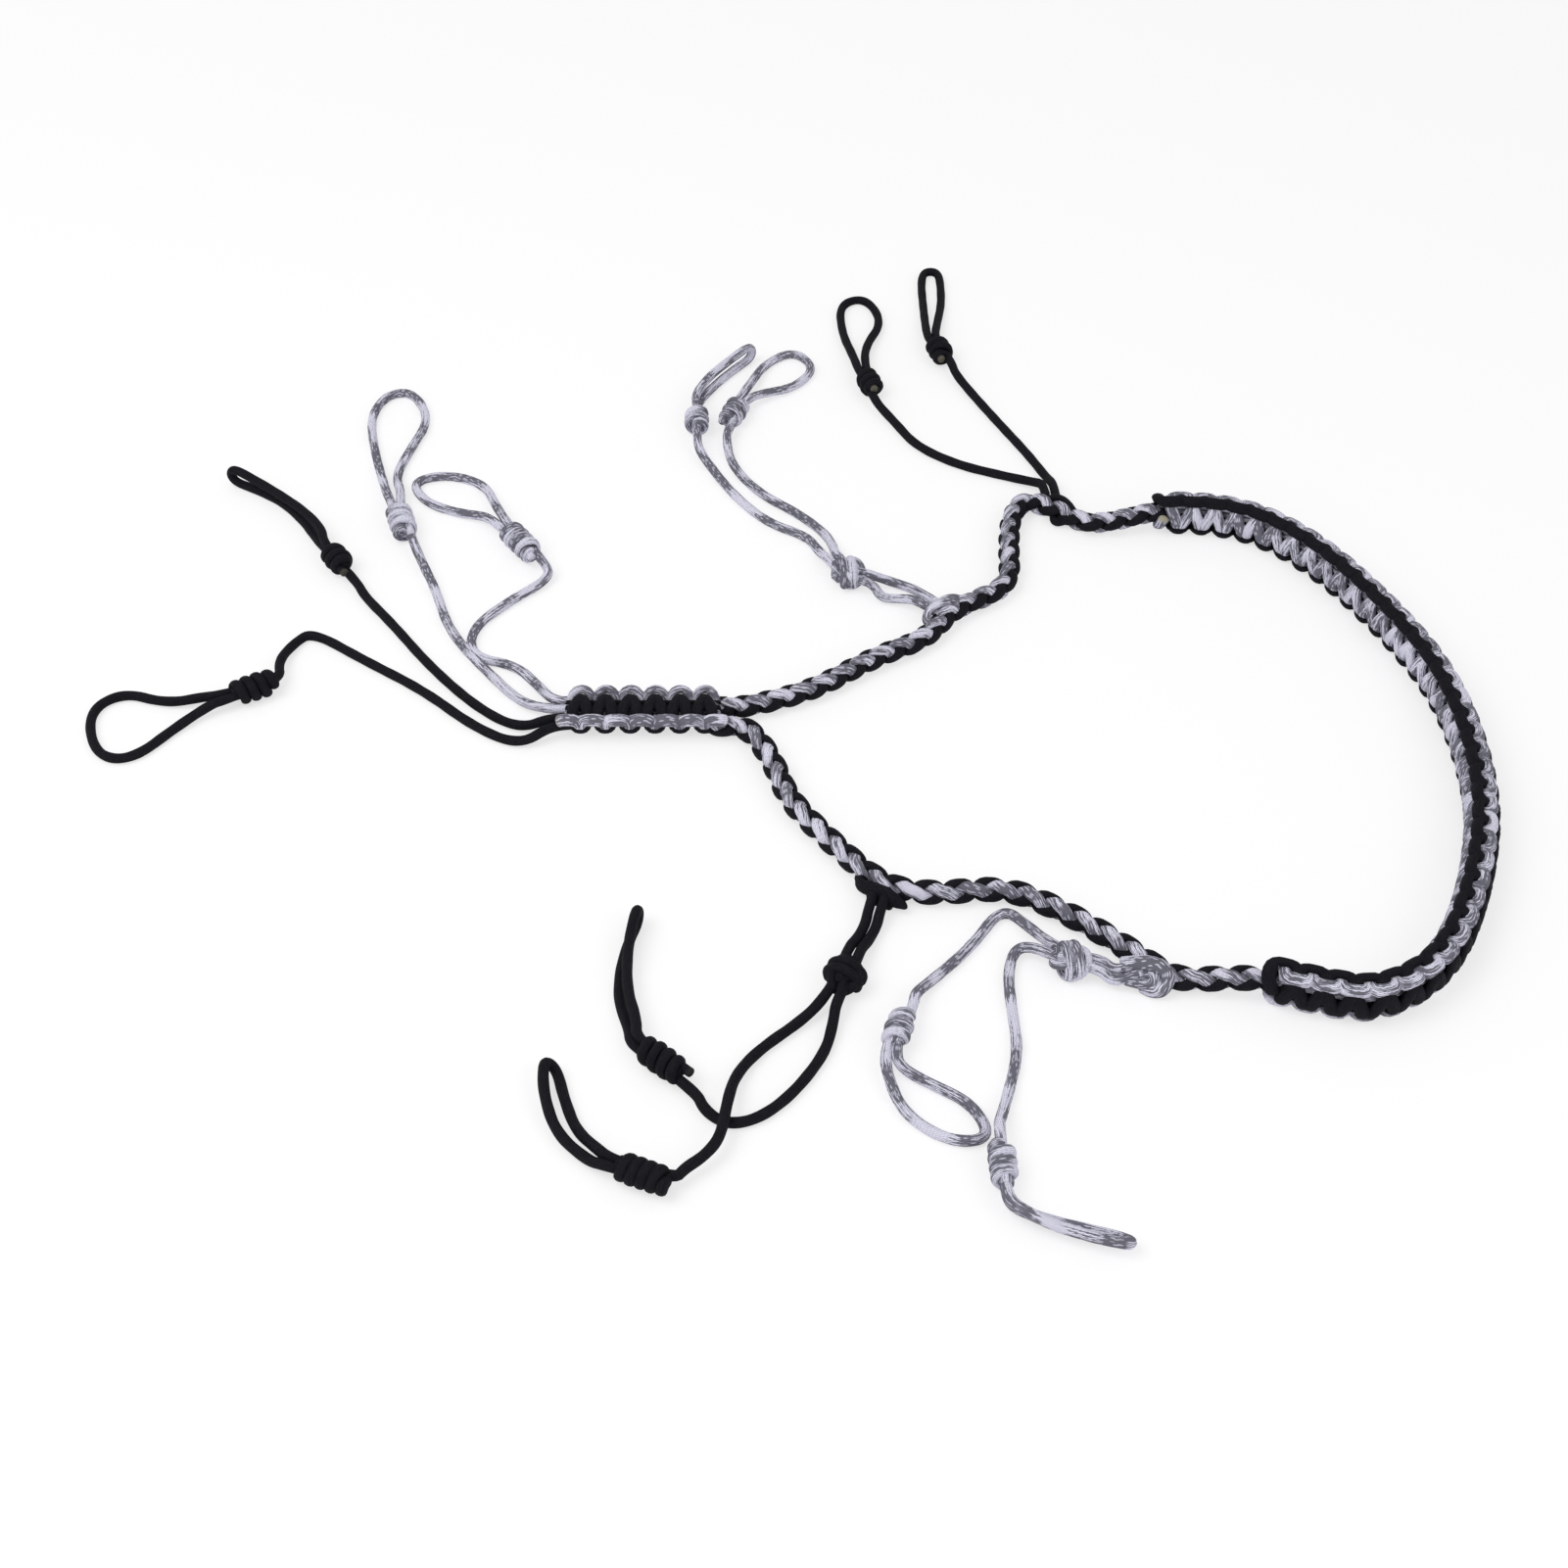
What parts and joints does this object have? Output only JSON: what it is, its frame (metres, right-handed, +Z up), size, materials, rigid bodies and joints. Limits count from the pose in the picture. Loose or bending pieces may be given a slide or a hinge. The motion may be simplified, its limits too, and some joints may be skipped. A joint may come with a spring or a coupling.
{
  "type": "call lanyard",
  "caption": "Two-colour braided call lanyard: a flat square-knotted neck band, two round braids, a square-knotted front bar and sliding noose drops on cord legs.",
  "frame": {"origin": "on the surface that the lanyard lies on, under the middle of the worn loop's box", "axes": "+X from the front bar to the neck band, the loop's long way; +Y to the upper braid; +Z up"},
  "size_m": [0.5571, 0.581, 0.0195],
  "materials": {
    "black_cord": "braided nylon, matte",
    "camouflage_cord": "braided nylon, matte, black, grey and white"
  },
  "bodies": {
    "worn_loop": {"neck_cover_grey": "camouflage_cord", "neck_cover_black": "black_cord", "neck_core_black": "black_cord", "neck_core_grey": "camouflage_cord", "front_cover_black": "black_cord", "front_cover_grey": "camouflage_cord", "front_core_black": "black_cord", "front_core_grey": "camouflage_cord", "upper_braid_grey": "camouflage_cord", "upper_braid_black": "black_cord", "lower_braid_grey": "camouflage_cord", "lower_braid_black": "black_cord", "upper_grey_hitch": "camouflage_cord", "upper_black_hitch": "black_cord", "lower_black_hitch": "black_cord", "lower_grey_hitch": "camouflage_cord"},
    "front_black_open_drop": {"front_black_open_leg": "black_cord", "front_black_open_loop": "black_cord"},
    "front_black_narrow_drop": {"front_black_narrow_leg": "black_cord", "front_black_narrow_loop": "black_cord"},
    "front_grey_tall_drop": {"front_grey_tall_leg": "camouflage_cord", "front_grey_tall_loop": "camouflage_cord"},
    "front_grey_short_drop": {"front_grey_short_leg": "camouflage_cord", "front_grey_short_loop": "camouflage_cord"},
    "upper_grey_group": {"upper_grey_tether": "camouflage_cord", "upper_grey_overhand_knot": "camouflage_cord", "upper_grey_narrow_leg": "camouflage_cord", "upper_grey_narrow_loop": "camouflage_cord", "upper_grey_open_leg": "camouflage_cord", "upper_grey_open_loop": "camouflage_cord"},
    "upper_black_group": {"upper_black_narrow_leg": "black_cord", "upper_black_narrow_loop": "black_cord", "upper_black_open_leg": "black_cord", "upper_black_open_loop": "black_cord"},
    "lower_black_group": {"lower_black_tether": "black_cord", "lower_black_overhand_knot": "black_cord", "lower_black_far_leg": "black_cord", "lower_black_far_loop": "black_cord", "lower_black_near_leg": "black_cord", "lower_black_near_loop": "black_cord"},
    "lower_grey_group": {"lower_grey_tether": "camouflage_cord", "lower_grey_overhand_knot": "camouflage_cord", "lower_grey_open_leg": "camouflage_cord", "lower_grey_open_loop": "camouflage_cord", "lower_grey_narrow_leg": "camouflage_cord", "lower_grey_narrow_loop": "camouflage_cord"},
    "front_black_open_slider": {"front_black_open_noose": "black_cord"},
    "front_black_narrow_slider": {"front_black_narrow_noose": "black_cord"},
    "front_grey_tall_slider": {"front_grey_tall_noose": "camouflage_cord"},
    "front_grey_short_slider": {"front_grey_short_noose": "camouflage_cord"},
    "upper_grey_narrow_slider": {"upper_grey_narrow_noose": "camouflage_cord"},
    "upper_grey_open_slider": {"upper_grey_open_noose": "camouflage_cord"},
    "upper_black_narrow_slider": {"upper_black_narrow_noose": "black_cord"},
    "upper_black_open_slider": {"upper_black_open_noose": "black_cord"},
    "lower_black_far_slider": {"lower_black_far_noose": "black_cord"},
    "lower_black_near_slider": {"lower_black_near_noose": "black_cord"},
    "lower_grey_open_slider": {"lower_grey_open_noose": "camouflage_cord"},
    "lower_grey_narrow_slider": {"lower_grey_narrow_noose": "camouflage_cord"}
  },
  "joints": [
    {"name": "front_black_open_swing", "type": "hinge", "parent": "worn_loop", "child": "front_black_open_drop", "pos_m": [-0.181, 0.0009, 0.0065], "axis": [0, 0, 1], "range_deg": [0, 20]},
    {"name": "front_black_narrow_swing", "type": "hinge", "parent": "worn_loop", "child": "front_black_narrow_drop", "pos_m": [-0.181, 0.0053, 0.0065], "axis": [0, 0, 1], "range_deg": [-6, 5]},
    {"name": "front_grey_tall_swing", "type": "hinge", "parent": "worn_loop", "child": "front_grey_tall_drop", "pos_m": [-0.181, 0.0097, 0.0065], "axis": [0, 0, 1], "range_deg": [0, 6]},
    {"name": "front_grey_short_swing", "type": "hinge", "parent": "worn_loop", "child": "front_grey_short_drop", "pos_m": [-0.181, 0.0141, 0.0065], "axis": [0, 0, 1], "range_deg": [-15, 0]},
    {"name": "upper_grey_swing", "type": "hinge", "parent": "worn_loop", "child": "upper_grey_group", "pos_m": [-0.027, 0.07, 0.0065], "axis": [0, 0, 1], "range_deg": [-3, 15]},
    {"name": "upper_black_swing", "type": "hinge", "parent": "worn_loop", "child": "upper_black_group", "pos_m": [0.024, 0.143, 0.0065], "axis": [0, 0, 1], "range_deg": [-25, 3]},
    {"name": "lower_black_swing", "type": "hinge", "parent": "worn_loop", "child": "lower_black_group", "pos_m": [-0.057, -0.085, 0.0065], "axis": [0, 0, 1], "range_deg": [-15, 8]},
    {"name": "lower_grey_swing", "type": "hinge", "parent": "worn_loop", "child": "lower_grey_group", "pos_m": [0.04, -0.125, 0.0065], "axis": [0, 0, 1], "range_deg": [0, 20]},
    {"name": "front_black_open_slide", "type": "slide", "parent": "front_black_open_drop", "child": "front_black_open_slider", "axis": [-0.8829, -0.4695, 0], "range_m": [0, 0.012], "deforming": ["front_black_open_loop"]},
    {"name": "front_black_narrow_slide", "type": "slide", "parent": "front_black_narrow_drop", "child": "front_black_narrow_slider", "axis": [-0.6018, 0.7986, 0], "range_m": [0, 0.012], "deforming": ["front_black_narrow_loop"]},
    {"name": "front_grey_tall_slide", "type": "slide", "parent": "front_grey_tall_drop", "child": "front_grey_tall_slider", "axis": [-0.309, 0.9511, 0], "range_m": [0, 0.012], "deforming": ["front_grey_tall_loop"]},
    {"name": "front_grey_short_slide", "type": "slide", "parent": "front_grey_short_drop", "child": "front_grey_short_slider", "axis": [-0.5878, 0.809, 0], "range_m": [0, 0.012], "deforming": ["front_grey_short_loop"]},
    {"name": "upper_grey_narrow_slide", "type": "slide", "parent": "upper_grey_group", "child": "upper_grey_narrow_slider", "axis": [-0.0349, 0.9994, 0], "range_m": [0, 0.012], "deforming": ["upper_grey_narrow_loop"]},
    {"name": "upper_grey_open_slide", "type": "slide", "parent": "upper_grey_group", "child": "upper_grey_open_slider", "axis": [0.3746, 0.9272, 0], "range_m": [0, 0.012], "deforming": ["upper_grey_open_loop"]},
    {"name": "upper_black_narrow_slide", "type": "slide", "parent": "upper_black_group", "child": "upper_black_narrow_slider", "axis": [-0.309, 0.9511, 0], "range_m": [0, 0.012], "deforming": ["upper_black_narrow_loop"]},
    {"name": "upper_black_open_slide", "type": "slide", "parent": "upper_black_group", "child": "upper_black_open_slider", "axis": [-0.2924, 0.9563, 0], "range_m": [0, 0.012], "deforming": ["upper_black_open_loop"]},
    {"name": "lower_black_far_slide", "type": "slide", "parent": "lower_black_group", "child": "lower_black_far_slider", "axis": [-0.9205, 0.3907, 0], "range_m": [0, 0.012], "deforming": ["lower_black_far_loop"]},
    {"name": "lower_black_near_slide", "type": "slide", "parent": "lower_black_group", "child": "lower_black_near_slider", "axis": [-0.7547, 0.6561, 0], "range_m": [0, 0.012], "deforming": ["lower_black_near_loop"]},
    {"name": "lower_grey_open_slide", "type": "slide", "parent": "lower_grey_group", "child": "lower_grey_open_slider", "axis": [-0.3256, -0.9455, 0], "range_m": [0, 0.012], "deforming": ["lower_grey_open_loop"]},
    {"name": "lower_grey_narrow_slide", "type": "slide", "parent": "lower_grey_group", "child": "lower_grey_narrow_slider", "axis": [0.0349, -0.9994, 0], "range_m": [0, 0.012], "deforming": ["lower_grey_narrow_loop"]}
  ]
}
